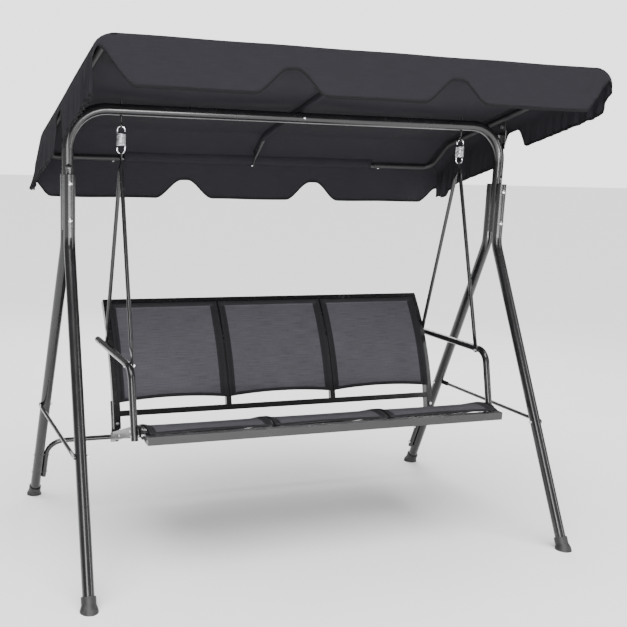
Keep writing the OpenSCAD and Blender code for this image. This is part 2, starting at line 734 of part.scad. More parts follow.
module seat_panel(x0, x1) {
    color("#55565a") difference() {
        from_side(x0, x1 - x0) seat_strip(PANEL_SETBACK, PANEL_SETBACK + PANEL_T);
        translate([x0 - CUT, -seat_front - 50, 300]) cube([x1 - x0 + 2 * CUT, 50 + FRONT_RAIL_W + 12, 300]);
        translate([x0 - CUT, SEAT_REAR_Y - 40, 300]) cube([x1 - x0 + 2 * CUT, 100, 300]);
    }
}

module seat_bolts() {
    color("#d8d8da") for (s = [0, 1]) mirror([s, 0, 0]) {
        for (p = SEAT_PLATE_BOLTS) bolt_between([BENCH_X + PLATE_T + 0.3, p[0], p[1]],
            [BENCH_X - SLAT_W, p[0], p[1]], SMALL_BOLT_D);
        translate([BENCH_X - BAR_W / 2, 0, BACK_BOLT_H])
            bolt_between([0, BACK_BOLT_Y[0], 0], [0, BACK_BOLT_Y[1], 0], SMALL_BOLT_D);
    }
}

// ---------------------------------------------------------------- canopy

// Height of the cloth's upper face above the middle of the bench
function canopy_z(y) = CANOPY_TOP_Z - CANOPY_SLOPE * y - (y > canopy_bend ? 1 : 0)
    * (CANOPY_REAR_SLOPE - CANOPY_SLOPE) * (y - canopy_bend);
// The bars lie just clear of the cloth, also where it slopes most
CANOPY_BAR_DROP = CANOPY_BAR_D / 2 * sqrt(1 + CANOPY_REAR_SLOPE * CANOPY_REAR_SLOPE) + cloth_t + 1;
FRONT_BAR_Y = -canopy_front + CANOPY_BAR_D / 2 + cloth_t + 1;
REAR_BAR_Y = canopy_rear - CANOPY_BAR_D / 2 - cloth_t - 1;
function bar_z(y) = canopy_z(y) - CANOPY_BAR_DROP;

// Side bar with both corners and the stubs that the cross bars fit
module canopy_side_bar() {
    zf = bar_z(FRONT_BAR_Y);
    zr = bar_z(REAR_BAR_Y);
    pts = [
        [CANOPY_STUB_X, FRONT_BAR_Y, zf],
        [CANOPY_BAR_X, FRONT_BAR_Y, zf],
        [CANOPY_BAR_X, canopy_bend, bar_z(canopy_bend)],
        [CANOPY_BAR_X, REAR_BAR_Y, zr],
        [CANOPY_STUB_X, REAR_BAR_Y, zr]
    ];
    t = TILT_PLATE_X[1] - TILT_PLATE_X[0];
    half = PIVOT_PLATE_W / 2;
    color("#1b1c1e") {
        difference() {
            bent_tube(pts, CANOPY_BAR_D, CANOPY_BAR_WALL, CANOPY_CORNER_R);
            for (p = [pts[0], pts[4]]) drill_z(p + [20, 0, 0], SMALL_BOLT_D - 2);
        }
        // Plate that hangs from the bar to the pivot
        difference() {
            translate([TILT_PLATE_X[0] - 1, 0, 0]) {
                from_side(0, t + 1) polygon([
                    [-half, PIVOT_H], [half, PIVOT_H], [half, bar_z(half)], [-half, bar_z(-half)]
                ]);
                translate([0, 0, PIVOT_H]) rotate([0, 90, 0]) cylinder(h = t + 1, d = PIVOT_PLATE_W);
            }
            drill_x([CANOPY_BAR_X, 0, PIVOT_H], BOLT_D);
            rod([CANOPY_BAR_X, -100, bar_z(-100)], [CANOPY_BAR_X, 100, bar_z(100)], CANOPY_BAR_D - 1);
        }
    }
}

// Straight cross bar whose swaged ends go into the side bars' stubs
module canopy_cross_bar(y) {
    inner = CANOPY_BAR_D - 2 * CANOPY_BAR_WALL - FIT;
    full = CANOPY_STUB_X - 0.5;
    color("#1b1c1e") difference() {
        translate([-full, y, bar_z(y)]) rotate([0, 90, 0]) union() {
            cylinder(h = 2 * full, d = CANOPY_BAR_D);
            translate([0, 0, -40]) cylinder(h = 2 * full + 80, d = inner);
        }
        translate([-full - 50, y, bar_z(y)]) rotate([0, 90, 0])
            cylinder(h = 2 * full + 100, d = inner - 2 * CANOPY_BAR_WALL);
        for (s = [-1, 1]) drill_z([s * (CANOPY_STUB_X + 20), y, bar_z(y)], SMALL_BOLT_D - 2);
        drill_z([0, y, bar_z(y)], SMALL_BOLT_D - 2);
    }
}

// The middle bar passes over the top bar; its flat ends lie under the cross bars
module canopy_center_bar() {
    d = 12;
    lift = CANOPY_BAR_D / 2 + 1.6;
    a = [0, FRONT_BAR_Y, bar_z(FRONT_BAR_Y) - lift];
    b = [0, FRONT_BAR_Y + 50, canopy_z(FRONT_BAR_Y + 50) - cloth_t - 2 - d / 2];
    m = [0, canopy_bend, canopy_z(canopy_bend) - cloth_t - 2 - d / 2];
    e = [0, REAR_BAR_Y - 30, bar_z(REAR_BAR_Y - 30) - 6];
    f = [0, REAR_BAR_Y, bar_z(REAR_BAR_Y) - lift];
    color("#1b1c1e") difference() {
        union() {
            bent_rod([b, m, e], d, 60);
            rod(b + unit(m - b) * d, a + [0, 7, 0], d / 2);
            rod(e + unit(m - e) * d, f - [0, 7, 0], d / 2);
            for (p = [a, f]) translate(p) cube([18, 20, 3], center = true);
        }
        for (p = [a, f]) drill_z(p, SMALL_BOLT_D - 2);
    }
}

module canopy_screws() {
    color("#d8d8da") for (y = [FRONT_BAR_Y, REAR_BAR_Y]) {
        for (s = [-1, 1]) translate([s * (CANOPY_STUB_X + 20), y, bar_z(y) - CANOPY_BAR_D / 2]) {
            translate([0, 0, -2.5]) cylinder(h = 2.5, d = 8);
            cylinder(h = CANOPY_BAR_D, d = SMALL_BOLT_D - 2 - FIT);
        }
        translate([0, y, bar_z(y) - CANOPY_BAR_D / 2 - 3.2]) {
            translate([0, 0, -2.5]) cylinder(h = 2.5, d = 8);
            cylinder(h = CANOPY_BAR_D + 3.2, d = SMALL_BOLT_D - 2 - FIT);
        }
    }
}

module canopy_pivot_bolts() {
    color("#d8d8da") for (s = [0, 1]) mirror([s, 0, 0])
        aim([TILT_PLATE_X[0] - 1.2, 0, PIVOT_H], [FRAME_PLATE_X[1], 0, PIVOT_H]) {
            translate([0, 0, -4]) cylinder(h = 4, d = 15);
            cylinder(h = 9, d = BOLT_D - FIT);
            translate([0, 0, 8.2]) cylinder(h = 6, d = 14, $fn = 6);
        }
}

// How far a hanging edge is cut back at distance u from a notch's centre, from 0 to 1
function notch(u, top, base) = 1 - smooth((abs(u) - top) / (base - top));
NOTCH_X = 278;
NOTCH_H = 72;
NOTCH_TOP = 12;
NOTCH_BASE = 118;
REAR_VALANCE_MORE = 8;   // the rear edge hangs this much deeper than the front one
FRONT_CORNER = [35, 125]; // the front edge's depth at its corners, and the length to its full depth
REAR_CORNER = [95, 75];
SIDE_D = [110, 125];     // depth of the side edges' front and rear lobes
SIDE_NOTCH_Y = -30;
SIDE_NOTCH_D = 22;       // what is left of the side edge in its notch
function long_depth(x, full, corner) = corner[0]
    + (full - corner[0]) * smooth((canopy_w / 2 - abs(x)) / corner[1])
    - NOTCH_H * notch(abs(x) - NOTCH_X, NOTCH_TOP, NOTCH_BASE);
function side_depth(y) = let (lobe = SIDE_D[y < SIDE_NOTCH_Y ? 0 : 1])
    lobe - (lobe - SIDE_NOTCH_D) * notch(y - SIDE_NOTCH_Y, 25, 85)
    - 60 * (1 - smooth((y + canopy_front) / 50)) - 60 * smooth((y - canopy_rear + 80) / 80);
function hip(x) = CANOPY_DROP * max(0, (abs(x) - CANOPY_FLAT_X) / (canopy_w / 2 - CANOPY_FLAT_X));

// Front or rear hanging edge, drawn in the XZ plane
module long_valance(y, z_top, full, corner) {
    half = canopy_w / 2;
    step = half / 60;
    translate([0, y, 0]) rotate([90, 0, 0]) linear_extrude(height = cloth_t) polygon(concat(
        [for (i = [-60:60]) [i * step, z_top - max(long_depth(i * step, full, corner), hip(i * step) + 4)]],
        [for (x = [half, CANOPY_FLAT_X, -CANOPY_FLAT_X, -half]) [x, z_top - hip(x)]]
    ));
}

module side_valance() {
    count = 50;
    step = (canopy_rear + canopy_front) / count;
    from_side(canopy_w / 2 - cloth_t, cloth_t) polygon(concat(
        [for (i = [0:count]) let (y = -canopy_front + i * step)
            [y, canopy_z(y) - CANOPY_DROP - side_depth(y)]],
        [for (y = [canopy_rear, canopy_bend, -canopy_front]) [y, canopy_z(y) - CANOPY_DROP]]
    ));
}

function roof_strip(y0, y1, drop) = [
    [y0, canopy_z(y0) - drop], [y1, canopy_z(y1) - drop],
    [y1, canopy_z(y1) - drop - cloth_t], [y0, canopy_z(y0) - drop - cloth_t]
];

// Sloping strip between the roof's flat middle and the side edge
module hip_strip(y0, y1) {
    hull() {
        from_side(CANOPY_FLAT_X, 0.5) polygon(roof_strip(y0, y1, 0));
        from_side(canopy_w / 2 - 1, 1) polygon(roof_strip(y0, y1, CANOPY_DROP));
    }
}

module canopy_cover() {
    color("#2e2e32") {
        from_side(-CANOPY_FLAT_X, 2 * CANOPY_FLAT_X)
            for (span = [[-canopy_front, canopy_bend], [canopy_bend, canopy_rear]])
                polygon(roof_strip(span[0], span[1], 0));
        for (s = [0, 1]) mirror([s, 0, 0]) {
            hip_strip(-canopy_front, canopy_bend);
            hip_strip(canopy_bend, canopy_rear);
            side_valance();
        }
        long_valance(-canopy_front + cloth_t, canopy_z(-canopy_front), valance_d, FRONT_CORNER);
        long_valance(canopy_rear, canopy_z(canopy_rear), valance_d + REAR_VALANCE_MORE, REAR_CORNER);
    }
}

// ---------------------------------------------------------------- nodes

left() front_leg();  // front_leg_left
front_leg();  // front_leg_right
left() rear_leg();  // rear_leg_left
rear_leg();  // rear_leg_right
left() foot();  // foot_front_left
foot();  // foot_front_right
left() rear() foot();  // foot_rear_left
rear() foot();  // foot_rear_right
top_bar_left();
top_bar_right();
top_bar_screw();
left() side_brace();  // side_brace_left
side_brace();  // side_brace_right
rear_crossbar_left();
rear_crossbar_right();
left() spring_hook();  // spring_hook_left
spring_hook();  // spring_hook_right
left() canopy_bracket();  // canopy_bracket_left
canopy_bracket();  // canopy_bracket_right
stand_bolts();
left() spring();  // spring_left
spring();  // spring_right
left() hanger(HANGER_FRONT, 2);  // hanger_front_left
hanger(HANGER_FRONT, 2);  // hanger_front_right
left() hanger(HANGER_REAR, -2);  // hanger_rear_left
hanger(HANGER_REAR, -2);  // hanger_rear_right
left() armrest();  // armrest_left
armrest();  // armrest_right
armrest_plugs();
armrest_bolts();
left() seat_bracket();  // seat_bracket_left
seat_bracket();  // seat_bracket_right
seat_bolts();
seat_front_rail();
seat_rear_rail();
left() seat_side_rail();  // seat_side_rail_left
seat_side_rail();  // seat_side_rail_right
left() seat_slat();  // seat_slat_left
seat_slat();  // seat_slat_right
left() back_side_rail();  // back_side_rail_left
back_side_rail();  // back_side_rail_right
back_top_rail();
back_bottom_rail();
left() back_slat();  // back_slat_left
back_slat();  // back_slat_right
left() back_panel(SLAT_X + SLAT_W / 2, BENCH_X - BAR_W);  // back_panel_left
back_panel(-PANEL_MID, PANEL_MID);  // back_panel_middle
back_panel(SLAT_X + SLAT_W / 2, BENCH_X - BAR_W);  // back_panel_right
left() seat_panel(SLAT_X + SLAT_W / 2, BENCH_X - SLAT_W);  // seat_panel_left
seat_panel(-PANEL_MID, PANEL_MID);  // seat_panel_middle
seat_panel(SLAT_X + SLAT_W / 2, BENCH_X - SLAT_W);  // seat_panel_right
left() canopy_side_bar();  // canopy_side_bar_left
canopy_side_bar();  // canopy_side_bar_right
canopy_cross_bar(FRONT_BAR_Y);  // canopy_front_bar
canopy_cross_bar(REAR_BAR_Y);  // canopy_rear_bar
canopy_center_bar();
canopy_screws();
canopy_pivot_bolts();
canopy_cover();
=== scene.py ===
import math

import bpy
from mathutils import Matrix, Vector


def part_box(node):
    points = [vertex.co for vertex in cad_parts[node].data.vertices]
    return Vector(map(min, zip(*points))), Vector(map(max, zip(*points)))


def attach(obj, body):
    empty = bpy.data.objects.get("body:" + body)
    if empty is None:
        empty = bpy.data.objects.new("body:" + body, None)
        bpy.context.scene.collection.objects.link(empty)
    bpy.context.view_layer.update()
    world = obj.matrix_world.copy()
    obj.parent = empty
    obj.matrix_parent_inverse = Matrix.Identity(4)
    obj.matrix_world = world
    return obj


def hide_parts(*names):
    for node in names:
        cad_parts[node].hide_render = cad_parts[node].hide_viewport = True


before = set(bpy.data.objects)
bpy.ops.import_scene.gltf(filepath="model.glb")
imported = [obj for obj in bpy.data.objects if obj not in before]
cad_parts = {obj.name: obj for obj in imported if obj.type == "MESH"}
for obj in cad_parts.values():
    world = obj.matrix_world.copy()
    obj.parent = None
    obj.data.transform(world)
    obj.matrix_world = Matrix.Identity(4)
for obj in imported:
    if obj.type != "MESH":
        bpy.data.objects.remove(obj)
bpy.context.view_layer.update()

# Three-seat canopy swing, in metres: X runs across the bench, Y to the back, Z up.

# ---------------------------------------------------------------- sizes

# Canopy cloth, as the frame's canopy_cover has it
COVER_LOW, COVER_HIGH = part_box("canopy_cover")
HALF_W = COVER_HIGH.x
FRONT = COVER_LOW.y
REAR = COVER_HIGH.y
TOP = COVER_HIGH.z
ROOF_SLOPE = 0.26
REAR_SLOPE = 0.75
BEND_Y = 0.335
BEND_SOFT = 0.03         # length over which the roof turns at its bend
HIP_W = 0.066            # the roof rounds down to its side edges over this width
HIP_DROP = 0.052
EDGE_W = 0.014           # and to its front and rear edges over this
EDGE_DROP = 0.008
ROOF_SAG = 0.007
CLOTH_T = 0.0014
HEM_W = 0.010
SIDE_TOP_DROP = 0.045    # side edges are measured from this far below the roof line

VALANCE_D = 0.145
REAR_MORE = 0.008
NOTCH_X = 0.278
NOTCH_H = 0.072
NOTCH_TOP = 0.012
NOTCH_BASE = 0.118
FRONT_CORNER = ((0.035, 0.125), (0.035, 0.095))   # left and right: depth there, length to full depth
REAR_CORNER = ((0.095, 0.075), (0.095, 0.075))
SIDE_NOTCH_Y = -0.03
SIDE_NOTCH_D = 0.020
FRONT_LOBE = {-1: 0.128, 1: 0.095}       # depth of the left and right side flaps in front of the notch
REAR_LOBE = 0.132                        # and behind it
EDGE_ROUNDS = 7          # steps of the quarter rounds at the roof's edges
ROOF_COLUMNS = 161
ROOF_ROWS = 120
HEM_ALLOWANCE = 0.05     # length of the cut cloth in its hems and the roof's steeper rear

# Bench
SEAT_CROWN = (-0.310, 0.501 - 0.177)     # centre of the crown's curve, (y, z)
SEAT_CROWN_R = 0.177
SEAT_SLOPE = math.radians(19.8)
BACK_R = 0.980
BACK_LOW_A = math.radians(10)
BACK_CENTRE = (0.052 + BACK_R * math.cos(BACK_LOW_A), 0.392 - BACK_R * math.sin(BACK_LOW_A))
BACK_SETBACK = 0.005     # the slings lie this far below the rails' faces
SEAT_SETBACK = 0.002
SLING_T = 0.0012
SLEEVE_T = 0.0026
SLEEVE_W = 0.020
TOP_STEPS = 7            # so many of EDGE_STEPS are sleeve at the top rail
LAP = 0.0065             # how far a sleeve reaches over its rail
BACK_SAG = 0.004
SEAT_SAG = 0.001
BACK_ARCH = 0.011        # how far a free end of a sling arches in from its rails
SEAT_ARCH = 0.008


def smooth(t):
    t = min(1.0, max(0.0, t))
    return t * t * (3 - 2 * t)


def spread(a, b, count):
    return [a + (b - a) * i / (count - 1) for i in range(count)]


# ---------------------------------------------------------------- materials

class Shader:
    """A node material with one Principled shader; add() makes a node and returns its first output."""

    def __init__(self, name, **constants):
        self.material = bpy.data.materials.new(name)
        self.material.use_nodes = True
        self.tree = self.material.node_tree
        self.tree.nodes.clear()
        out = self.tree.nodes.new("ShaderNodeOutputMaterial")
        self.principled = self.tree.nodes.new("ShaderNodeBsdfPrincipled")
        self.tree.links.new(self.principled.outputs[0], out.inputs["Surface"])
        for key, value in constants.items():
            self.principled.inputs[key.replace("_", " ")].default_value = value

    def add(self, kind, *inputs, output=0, named=None, **settings):
        node = self.tree.nodes.new("ShaderNode" + kind)
        for key, value in settings.items():
            setattr(node, key, value)
        for place, value in list(enumerate(inputs)) + list((named or {}).items()):
            if value is None:
                continue
            if isinstance(value, bpy.types.NodeSocket):
                self.tree.links.new(value, node.inputs[place])
            else:
                node.inputs[place].default_value = value
        return node.outputs[output]

    def math(self, operation, a, b=0.0):
        return self.add("Math", a, b, operation=operation)

    def noise(self, where, scale, detail=2.0, roughness=0.5):
        named = {"Vector": where, "Scale": scale, "Detail": detail, "Roughness": roughness}
        return self.add("TexNoise", named=named)

    def spans(self, value, low, high, to_low, to_high):
        named = {"Value": value, "From Min": low, "From Max": high, "To Min": to_low, "To Max": to_high}
        return self.add("MapRange", named=named)

    def blend(self, share, a, b):
        mix = self.tree.nodes.new("ShaderNodeMix")
        mix.data_type = "RGBA"
        for socket, value in ((mix.inputs[0], share), (mix.inputs[6], a), (mix.inputs[7], b)):
            if isinstance(value, bpy.types.NodeSocket):
                self.tree.links.new(value, socket)
            else:
                socket.default_value = value
        return mix.outputs[2]

    def bump(self, height, strength, distance, normal=None):
        named = {"Height": height, "Strength": strength, "Distance": distance, "Normal": normal}
        return self.add("Bump", named=named)

    def drive(self, **links):
        for key, value in links.items():
            self.tree.links.new(value, self.principled.inputs[key.replace("_", " ")])

    def place(self):
        return self.add("TexCoord", output=3)


def grey(value, tint=1.0):
    """A grey whose blue is tint times its red; its green is a little weaker than its red."""
    return (value, value * (1.2 - 0.2 * tint), value * tint, 1.0)


def powder_coat(name, least_rough, coat):
    s = Shader(name, Coat_Weight=coat, Coat_Roughness=0.10, Specular_IOR_Level=0.5)
    where = s.place()
    peel = s.noise(where, 900.0, 2.0)
    broad = s.noise(where, 9.0, 4.0, 0.6)
    dust = s.spans(s.noise(where, 46.0, 5.0, 0.65), 0.55, 0.8, 0.0, 0.15)
    dark = s.blend(broad, grey(0.005, 1.1), grey(0.010, 1.1))
    s.drive(
        Base_Color=s.blend(dust, dark, grey(0.022, 1.05)),
        Roughness=s.math("ADD", s.spans(broad, 0.3, 0.7, least_rough, least_rough + 0.10),
                         s.math("MULTIPLY", dust, 0.3)),
        Normal=s.bump(peel, 0.02, 0.0002),
    )
    return s.material


def moulded_plastic():
    s = Shader("black_moulded_plastic", Specular_IOR_Level=0.4)
    where = s.place()
    grain = s.noise(where, 1400.0, 4.0, 0.7)
    scuff = s.noise(where, 60.0, 5.0, 0.7)
    s.drive(
        Base_Color=s.blend(s.spans(scuff, 0.5, 0.75, 0.0, 1.0), grey(0.014), grey(0.035)),
        Roughness=s.spans(scuff, 0.3, 0.7, 0.42, 0.62),
        Normal=s.bump(grain, 0.35, 0.0003),
    )
    return s.material


def zinc_plate():
    s = Shader("zinc_plate", Metallic=1.0)
    where = s.place()
    spangle = s.add("TexVoronoi", named={"Vector": where, "Scale": 420.0}, output=1)
    value = s.add("SeparateColor", spangle)
    haze = s.noise(where, 150.0, 4.0, 0.6)
    s.drive(
        Base_Color=s.blend(value, grey(0.60, 1.05), grey(0.82, 1.03)),
        Roughness=s.math("ADD", s.spans(haze, 0.3, 0.7, 0.20, 0.34), s.math("MULTIPLY", value, 0.08)),
        Normal=s.bump(haze, 0.10, 0.0004),
    )
    return s.material


def drawn_wire():
    s = Shader("bright_drawn_wire", Metallic=1.0)
    where = s.place()
    drawn = s.noise(where, 800.0, 3.0)
    film = s.noise(where, 90.0, 3.0)
    s.drive(
        Base_Color=s.blend(film, grey(0.66, 1.04), grey(0.88, 1.03)),
        Roughness=s.spans(film, 0.3, 0.7, 0.14, 0.26),
        Normal=s.bump(drawn, 0.08, 0.0003),
    )
    return s.material


def woven(name, thread, dark, light, streak, roughness, depth):
    """Plain weave; thread is the threads' spacing in metres, measured on the cut cloth."""
    s = Shader(name, Specular_IOR_Level=0.10)
    flat = s.add("Attribute", attribute_name="cut", output=1)
    x, y = (s.add("SeparateXYZ", flat, output=k) for k in (0, 1))
    turn = 2 * math.pi / thread
    warp = s.math("SINE", s.math("MULTIPLY", x, turn))
    weft = s.math("SINE", s.math("MULTIPLY", y, turn))
    over = s.math("MULTIPLY", warp, weft)
    along = s.add("VectorMath", flat, (14.0, 620.0, 1.0), operation="MULTIPLY")
    across = s.add("VectorMath", flat, (700.0, 40.0, 1.0), operation="MULTIPLY")
    slub = s.math("ADD", s.math("MULTIPLY", s.noise(along, 1.0, 2.0), 1.4),
                  s.math("MULTIPLY", s.noise(across, 1.0, 2.0), 0.6))
    cloud = s.noise(flat, 5.0, 3.0, 0.5)
    tone = s.math("ADD", s.spans(over, -1.0, 1.0, 0.30, 0.70), s.spans(slub, 0.8, 1.2, -streak, streak))
    colour = s.blend(s.math("ADD", tone, s.spans(cloud, 0.3, 0.7, -0.07, 0.07)), dark, light)
    s.drive(
        Base_Color=colour,
        Roughness=s.spans(cloud, 0.3, 0.7, roughness - 0.06, roughness + 0.06),
        Normal=s.bump(over, 0.6, depth, s.bump(s.noise(flat, 22.0, 3.0), 0.25, 0.004)),
    )
    return s.material


def thread_material():
    s = Shader("sewing_thread", Sheen_Weight=0.2)
    twist = s.noise(s.place(), 2600.0, 2.0)
    s.drive(
        Base_Color=s.blend(twist, grey(0.05, 1.05), grey(0.11, 1.05)),
        Roughness=s.spans(twist, 0.3, 0.7, 0.5, 0.7),
        Normal=s.bump(twist, 0.4, 0.0002),
    )
    return s.material


FRAME_MATERIALS = {
    "black_frame": powder_coat("black_powder_coat", 0.20, 0.25),
    "black_plastic": moulded_plastic(),
    "zinc": zinc_plate(),
    "spring_steel": drawn_wire(),
}
CANOPY_CLOTH = woven("canopy_polyester", 0.0011, grey(0.010, 1.18), grey(0.022, 1.18),
                     streak=0.14, roughness=0.80, depth=0.0003)
CANOPY_HEM = woven("canopy_hem_polyester", 0.0011, grey(0.005, 1.1), grey(0.012, 1.1),
                   streak=0.14, roughness=0.80, depth=0.0003)
SLING = woven("sling_weave", 0.0022, grey(0.036, 1.12), grey(0.098, 1.12),
              streak=0.20, roughness=0.78, depth=0.0006)
SLEEVE = woven("sling_sleeve_weave", 0.0022, grey(0.010, 1.1), grey(0.026, 1.1),
               streak=0.13, roughness=0.70, depth=0.0006)
THREAD = thread_material()

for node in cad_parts.values():
    for place in node.material_slots:
        if place.material.name in FRAME_MATERIALS:
            place.material = FRAME_MATERIALS[place.material.name]
MATTE_BAR = powder_coat("matte_black_powder_coat", 0.55, 0.0)
for side in ("left", "right"):
    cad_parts["canopy_side_bar_" + side].material_slots[0].material = MATTE_BAR


# ---------------------------------------------------------------- mesh helpers

def add_mesh(name, verts, faces, material, cut=None):
    """cut gives each point's place on the cloth before it was sewn, (across, along) in metres."""
    mesh = bpy.data.meshes.new(name)
    mesh.from_pydata([tuple(v) for v in verts], [], faces)
    mesh.materials.append(material)
    if cut:
        attribute = mesh.attributes.new("cut", "FLOAT_VECTOR", "POINT")
        for i, (a, b) in enumerate(cut):
            attribute.data[i].vector = (a, b, 0.0)
    mesh.polygons.foreach_set("use_smooth", [True] * len(faces))
    mesh.update()
    piece = bpy.data.objects.new(name, mesh)
    bpy.context.scene.collection.objects.link(piece)
    return piece


class Cloth:
    """Points, faces and cut places of a cloth's middle surface, with the names of each face's bands."""

    def __init__(self):
        self.verts, self.cut, self.faces, self.bands = [], [], [], []

    def point(self, place, cut):
        self.verts.append(Vector(place))
        self.cut.append(cut)
        return len(self.verts) - 1

    def quad(self, a, b, c, d, *bands):
        self.faces.append((a, b, c, d))
        self.bands.append(set(bands))

    def area(self):
        total = 0.0
        for a, b, c, d in self.faces:
            p = self.verts
            total += (p[c] - p[a]).cross(p[d] - p[b]).length / 2
        return total

    def piece(self, name, material, thickness, band=None):
        """The cloth, or only the faces of one band of it, with a thickness to both sides."""
        faces = [f for f, names in zip(self.faces, self.bands) if band is None or band in names]
        used = sorted({i for f in faces for i in f})
        new = {old: i for i, old in enumerate(used)}
        made = add_mesh(name, [self.verts[i] for i in used], [tuple(new[i] for i in f) for f in faces],
                        material, [self.cut[i] for i in used])
        thick = made.modifiers.new("thickness", "SOLIDIFY")
        thick.thickness = thickness
        thick.offset = 0.0
        thick.use_even_offset = True
        return made


def tube(name, runs, radius, material, sides=5):
    """One mesh of a thin tube along each run of points."""
    verts, faces = [], []
    for run in runs:
        first = len(verts)
        last = len(run) - 1
        side = None
        for i, p in enumerate(run):
            t = (run[min(i + 1, last)] - run[max(i - 1, 0)]).normalized()
            if side is None:
                side = t.orthogonal().normalized()
            side = (side - t * side.dot(t)).normalized()
            other = t.cross(side)
            for k in range(sides):
                a = 2 * math.pi * k / sides
                verts.append(p + (side * math.cos(a) + other * math.sin(a)) * radius)
        for i in range(last):
            for k in range(sides):
                q = (k + 1) % sides
                a = first + i * sides
                faces.append((a + k, a + q, a + sides + q, a + sides + k))
        faces.append(tuple(first + k for k in reversed(range(sides))))
        faces.append(tuple(first + last * sides + k for k in range(sides)))
    return add_mesh(name, verts, faces, material)


STITCH = 0.0035          # length of one stitch
THREAD_R = 0.00045


def stitches(points, normals, half_thickness):
    """A thread along the points that goes through the cloth after each stitch."""
    run, travelled, upper = [], 0.0, 1
    reach = half_thickness + THREAD_R * 0.4
    for i in range(len(points) - 1):
        a, b = points[i], points[i + 1]
        length = (b - a).length
        while travelled < length:
            t = travelled / length
            n = normals[i].lerp(normals[i + 1], t).normalized()
            run.append(a.lerp(b, t) + n * reach * upper)
            upper = -upper
            travelled += STITCH
        travelled -= length
    return run


# ---------------------------------------------------------------- canopy

def roof_line(y):
    """Height of the taut roof above the middle of the bench, with its bend rounded."""
    past = y - BEND_Y
    half = BEND_SOFT / 2
    rounded = 0.0 if past < -half else past if past > half else (past + half) ** 2 / (2 * BEND_SOFT)
    return TOP - ROOF_SLOPE * (y - FRONT) - (REAR_SLOPE - ROOF_SLOPE) * rounded


def over_edge(turn, width, drop):
    """(how far from the edge, how far down) on the quarter round over a bar; turn is 0 to 1."""
    a = turn * math.pi / 2
    return width * (1 - math.sin(a)), drop * (1 - math.cos(a))


def long_depth(x, full, corners):
    corner_d, corner_l = corners[0 if x < 0 else 1]
    corner = smooth((HALF_W - abs(x)) / corner_l)
    cut_back = 1 - smooth((abs(abs(x) - NOTCH_X) - NOTCH_TOP) / (NOTCH_BASE - NOTCH_TOP))
    return corner_d + (full - corner_d) * corner - NOTCH_H * cut_back


def side_depth(y, side):
    lobe = FRONT_LOBE[side] if y < SIDE_NOTCH_Y else REAR_LOBE
    notch = 1 - smooth((abs(y - SIDE_NOTCH_Y) - 0.025) / 0.060)
    front_end = (0.0 if side < 0 else 0.060) * (1 - smooth((y - FRONT) / 0.05))
    rear_end = 0.045 * smooth((y - REAR + 0.07) / 0.07)
    return lobe - (lobe - SIDE_NOTCH_D) * notch - front_end - rear_end


def gathers(u, pitch, seed):
    """Uneven folds along an edge, from -1 to 1."""
    slow = math.sin(2 * math.pi * u / (pitch * 4.3) + seed)
    return 0.62 * math.sin(2 * math.pi * u / pitch + 1.7 * slow) + 0.38 * math.sin(
        2 * math.pi * u / (pitch * 0.57) + 2.1 * seed + slow)


def roof_point(x, y, x_down, y_down):
    sag = ROOF_SAG * math.sin(math.pi * min(1, abs(x) / 0.80)) ** 2
    sag *= math.sin(math.pi * (y - FRONT) / (REAR - FRONT))
    uneven = 0.0012 * math.sin(x * 17 + 0.6) * math.sin(y * 9 + 1.1)
    return Vector((x, y, roof_line(y) - sag - x_down - y_down + uneven))


def canopy_stations():
    """Across and along: (place, how far down the edge's round) from one edge to the other."""
    turns = [k / EDGE_ROUNDS for k in range(EDGE_ROUNDS, 0, -1)]
    hip = [over_edge(turn, HIP_W, HIP_DROP) for turn in turns]
    across = [(-HALF_W + e, d) for e, d in hip]
    across += [(x, 0.0) for x in spread(-HALF_W + HIP_W, HALF_W - HIP_W, ROOF_COLUMNS)]
    across += [(HALF_W - e, d) for e, d in reversed(hip)]
    edge = [over_edge(turn, EDGE_W, EDGE_DROP) for turn in turns]
    along = [(FRONT + e, d) for e, d in edge]
    along += [(y, 0.0) for y in spread(FRONT + EDGE_W, REAR - EDGE_W, ROOF_ROWS)]
    along += [(REAR - e, d) for e, d in reversed(edge)]
    return across, along


FLAP_ROWS = 11


def flap_steps(depth):
    """Distances below the edge of a flap's rows; the last two bound the hem."""
    hem = min(HEM_W, 0.45 * depth)
    return [(depth - hem) * k / FLAP_ROWS for k in range(1, FLAP_ROWS + 1)] + [depth]


def front_hang(x, top, down):
    t = down / VALANCE_D
    corner = smooth((abs(x) - 0.68) / 0.18)
    fold = 0.0035 * t * gathers(x, 0.21, 0.4) + 0.006 * t * corner * gathers(x, 0.05, 1.9)
    return Vector((x, top.y - 0.004 * t - fold + 0.010 * t * corner, top.z - down))


def rear_hang(x, top, down):
    t = down / VALANCE_D
    corner = smooth((abs(x) - 0.66) / 0.20)
    fold = 0.004 * t * gathers(x, 0.24, 2.2) + 0.007 * t * corner * gathers(x, 0.055, 0.7)
    out = math.copysign(0.012 * t * corner, x)
    return Vector((x + out, top.y + 0.004 * t + fold + 0.040 * t * t * corner, top.z - down))


def side_hang(y, top, down, side):
    t = down / 0.13
    ends = smooth((abs(y - 0.5 * (FRONT + REAR)) - 0.24) / 0.24)
    fold = 0.010 * (0.35 + 0.65 * ends) * min(1.0, 1.6 * t) * gathers(y, 0.050, 1.0 + side)
    rear_end = smooth((y - 0.27) / (REAR - 0.27))
    x = top.x + side * (0.003 * t + fold + 0.022 * t * t * rear_end)
    return Vector((x, y + 0.030 * t * t * rear_end, top.z - down))


